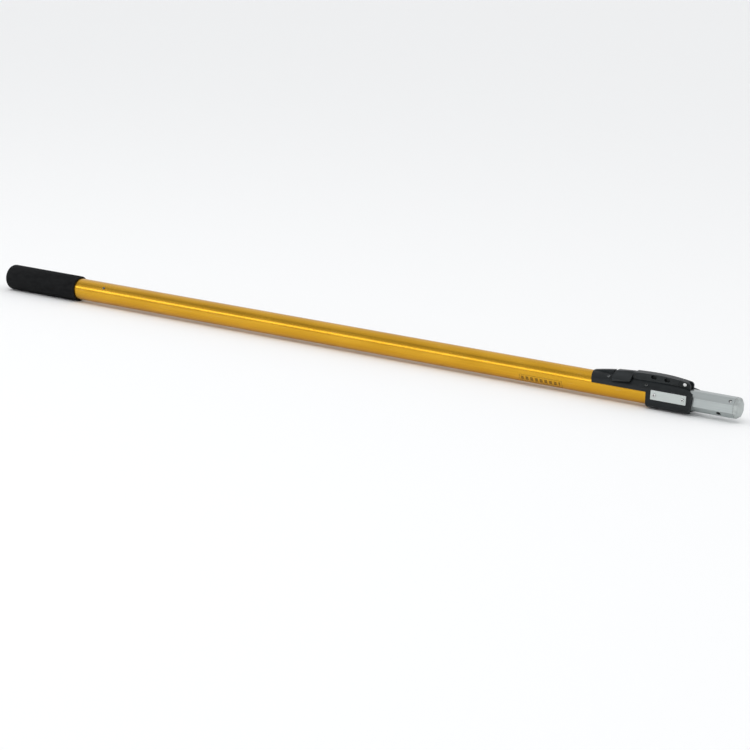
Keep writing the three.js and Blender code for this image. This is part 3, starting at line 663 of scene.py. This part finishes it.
def split_roll_pin(node, name):
    """A pin rolled from strip: its tube stays open along a narrow slit."""
    origin, direction = radial(node)
    tip, top = reach_along(node, origin, direction)
    corner = ROLL_PIN_RADIUS - ROLL_PIN_CHAMFER
    section = [
        (tip, ROLL_PIN_BORE),
        (tip, corner),
        (tip + ROLL_PIN_CHAMFER, ROLL_PIN_RADIUS),
        (top - ROLL_PIN_CHAMFER, ROLL_PIN_RADIUS),
        (top, corner),
        (top, ROLL_PIN_BORE),
    ]
    bm = bmesh.new()
    face = bm.faces.new([bm.verts.new((along, 0, radius)) for along, radius in section])
    bmesh.ops.spin(
        bm, geom=[face], cent=(0, 0, 0), axis=(1, 0, 0),
        angle=math.radians(ROLL_PIN_SWEEP), steps=42)
    bmesh.ops.recalc_face_normals(bm, faces=bm.faces)
    bmesh.ops.transform(bm, matrix=pointing(origin, direction), verts=bm.verts)
    finish_piece(bm, name, node, SMALL_SMOOTH, DULL_STEEL)


def dowel(node, name, radius, chamfer):
    """A plain chamfered pin."""
    origin, direction = radial(node)
    tip, top = reach_along(node, origin, direction)
    profile = [
        (tip, 0),
        (tip, radius - chamfer),
        (tip + chamfer, radius),
        (top - chamfer, radius),
        (top, radius - chamfer),
        (top, 0),
    ]
    small_turned(rounded(profile, 0.15 * MM, 2), origin, direction, name, node)


def lever_axle():
    """The lever's pin, with a domed head at each end."""
    middle = middle_of("lever_pin")
    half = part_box("lever_pin")[1][1] - middle.y
    outline = [(-half, 0)]
    for k in range(1, 7):
        angle = k / 6 * math.pi / 2
        rise = 0.8 * AXLE_DOME * (1 - math.cos(angle))
        outline.append((-half + rise, AXLE_HEAD * math.sin(angle)))
    seat = -half + AXLE_DOME
    outline += [(seat, AXLE_HEAD), (seat, AXLE_SHANK)]
    profile = outline + [(-along, radius) for along, radius in reversed(outline)]
    axle = spun(profile, pointing(middle, (0, 1, 0)), 48)
    finish_piece(axle, "lever_axle", "lever_pin", SMALL_SMOOTH)


def pad_screw_piece():
    """A pan-head screw up into the pad, with a round socket in its head."""
    middle = middle_of("pad_screw")
    origin = Vector((middle.x, middle.y, 0))
    downward = Vector((0, 0, -1))
    tip, top = reach_along("pad_screw", origin, downward)
    seat = top - PAD_SCREW_HEIGHT
    socket = top - 0.6 * PAD_SCREW_HEIGHT
    profile = [
        (tip, 0),
        (tip, 0.5 * PAD_SCREW_SHANK),
        (tip + PAD_SCREW_SHANK, PAD_SCREW_SHANK),
        (seat, PAD_SCREW_SHANK),
        (seat, PAD_SCREW_HEAD),
        (top - 0.4 * PAD_SCREW_HEIGHT, PAD_SCREW_HEAD),
        (top - 0.1 * PAD_SCREW_HEIGHT, 0.8 * PAD_SCREW_HEAD),
        (top, 0.5 * PAD_SCREW_HEAD),
        (top, 0.4 * PAD_SCREW_HEAD),
        (socket, 0.25 * PAD_SCREW_HEAD),
        (socket, 0),
    ]
    small_turned(profile, origin, downward, "pad_pan_screw", "pad_screw")


# Node, piece, edge radius in millimetres and segments of each piece that keeps its own shape.
SOFTENED = (
    ("inner_tube", "octagonal_tube", 0.5, 3),
    ("nose_plug", "nose_cap", 0.45, 3),
    ("lock_housing", "lock_body", 0.55, 3),
    ("cam_lever", "lever_arm", 0.6, 3),
    ("thumb_pad", "lever_thumb_pad", 0.7, 3),
    ("brake_shoe", "brake_block", 0.25, 2),
    ("guide_bush", "guide_bush_ring", 0.25, 2),
    ("rear_slide_plug", "sliding_rear_plug", 0.4, 2),
    ("retract_stop", "rubber_stop_block", 0.6, 3),
    ("tube_end_plug", "grip_end_plug", 0.4, 2),
)


def make_pieces():
    """Makes one piece for each of the frame's nodes."""
    gold_tube()
    rubber_grip()
    lever_axle()
    pad_screw_piece()
    for node, name, radius, segments in SOFTENED:
        soften(node, name, radius * MM, segments)
    for label, side in SIDES:
        soften(f"side_plate_{label}", f"steel_side_plate_{label}", 0.22 * MM, 2)
        for end in ("rear", "front"):
            plate_screw(f"plate_screw_{end}_{label}", f"plate_fastener_{end}_{label}", side)
        split_roll_pin(f"roll_pin_{label}", f"split_roll_pin_{label}")
        blind_rivet(f"saddle_rivet_{label}", f"saddle_blind_rivet_{label}", SADDLE_RIVET, DULL_STEEL)
        blind_rivet(f"stop_rivet_{label}", f"stop_blind_rivet_{label}", STOP_RIVET, DULL_STEEL)
        blind_rivet(f"slide_plug_rivet_{label}", f"slide_blind_rivet_{label}", SLIDE_RIVET)
        dowel(f"nose_pin_{label}", f"nose_dowel_{label}", NOSE_PIN_RADIUS, NOSE_PIN_CHAMFER)


def paint_carried_nodes():
    """Gives every node of the frame its slot's finish."""
    for name, node in frame["nodes"].items():
        node.data.materials.clear()
        node.data.materials.append(FINISH[SLOT[name]])


make_camera()
make_studio()
make_floor()
paint_carried_nodes()
make_pieces()

bpy.context.scene.view_settings.view_transform = "Standard"
